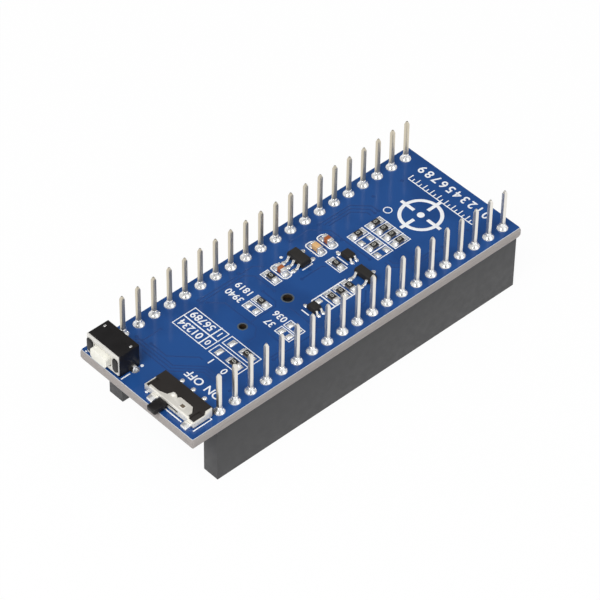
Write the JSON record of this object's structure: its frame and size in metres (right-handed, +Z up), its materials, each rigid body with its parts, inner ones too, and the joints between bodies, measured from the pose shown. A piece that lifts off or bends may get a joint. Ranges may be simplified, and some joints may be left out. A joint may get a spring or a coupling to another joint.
{
  "type": "positioning receiver module",
  "caption": "Stackable satellite-positioning board with two rows of long pins over socket strips, a side push button, a slide switch and a receiver beneath.",
  "frame": {"origin": "middle of the contact field, on the lower faces of the socket strips", "axes": "+X along the board away from the end with the switches, +Y across it from the near strip to the far one, +Z up through the pins"},
  "size_m": [0.0567, 0.021, 0.0165],
  "materials": {
    "board_mask": "glossy blue solder mask on glass-fibre board",
    "socket_plastic": "dark grey moulding",
    "contact_metal": "bright tinned",
    "solder_metal": "bright solder",
    "black_moulding": "satin black",
    "white_moulding": "smooth white",
    "spring_metal": "sprung sheet",
    "lead_metal": "tinned",
    "cover_metal": "plated sheet",
    "device_black": "moulded epoxy",
    "resistor_ceramic": "black glaze over ceramic",
    "cap_metal": "tinned end cap",
    "capacitor_ceramic": "fired ceramic",
    "lamp_resin": "clear resin",
    "receiver_board": "solder mask",
    "shield_metal": "drawn sheet",
    "cell_steel": "polished can",
    "antenna_plastic": "moulded base",
    "gold_plate": "gold plated"
  },
  "bodies": {
    "module": {"antenna_base": "antenna_plastic", "antenna_pin": "gold_plate", "antenna_ring": "gold_plate", "backup_cell": "cell_steel", "board": "board_mask", "button_dome": "spring_metal", "button_front_plate": "white_moulding", "button_housing": "black_moulding", "button_solder": "solder_metal", "button_terminals": "lead_metal", "capacitor_bodies": "capacitor_ceramic", "capacitor_caps": "cap_metal", "cell_holder": "black_moulding", "cell_negative_clip": "spring_metal", "cell_positive_clip": "spring_metal", "decoupling_bodies": "capacitor_ceramic", "decoupling_caps": "cap_metal", "far_contact_solder": "solder_metal", "far_contacts": "contact_metal", "far_socket_housing": "socket_plastic", "jumper_bodies": "resistor_ceramic", "jumper_caps": "cap_metal", "load_transistor_body": "device_black", "load_transistor_leads": "lead_metal", "near_contact_solder": "solder_metal", "near_contacts": "contact_metal", "near_socket_housing": "socket_plastic", "receiver_board": "receiver_board", "receiver_shield": "shield_metal", "regulator_body": "device_black", "regulator_leads": "lead_metal", "reset_transistor_body": "device_black", "reset_transistor_leads": "lead_metal", "resistor_bodies": "resistor_ceramic", "resistor_caps": "cap_metal", "standby_transistor_body": "device_black", "standby_transistor_leads": "lead_metal", "status_lamp_bodies": "lamp_resin", "status_lamp_caps": "cap_metal", "switch_cover": "cover_metal", "switch_foot_solder": "solder_metal", "switch_housing": "black_moulding", "switch_leads": "lead_metal"},
    "plunger": {"button_plunger": "white_moulding"},
    "lever": {"switch_lever": "black_moulding", "switch_wiper": "spring_metal"}
  },
  "joints": [
    {"name": "button_press", "type": "slide", "parent": "module", "child": "plunger", "axis": [1, 0, 0], "range_m": [0, 0.00025], "stiffness_N_per_m": 400, "springref_m": -0.001},
    {"name": "lever_slide", "type": "slide", "parent": "module", "child": "lever", "axis": [0, -1, 0], "range_m": [0, 0.0016]}
  ]
}
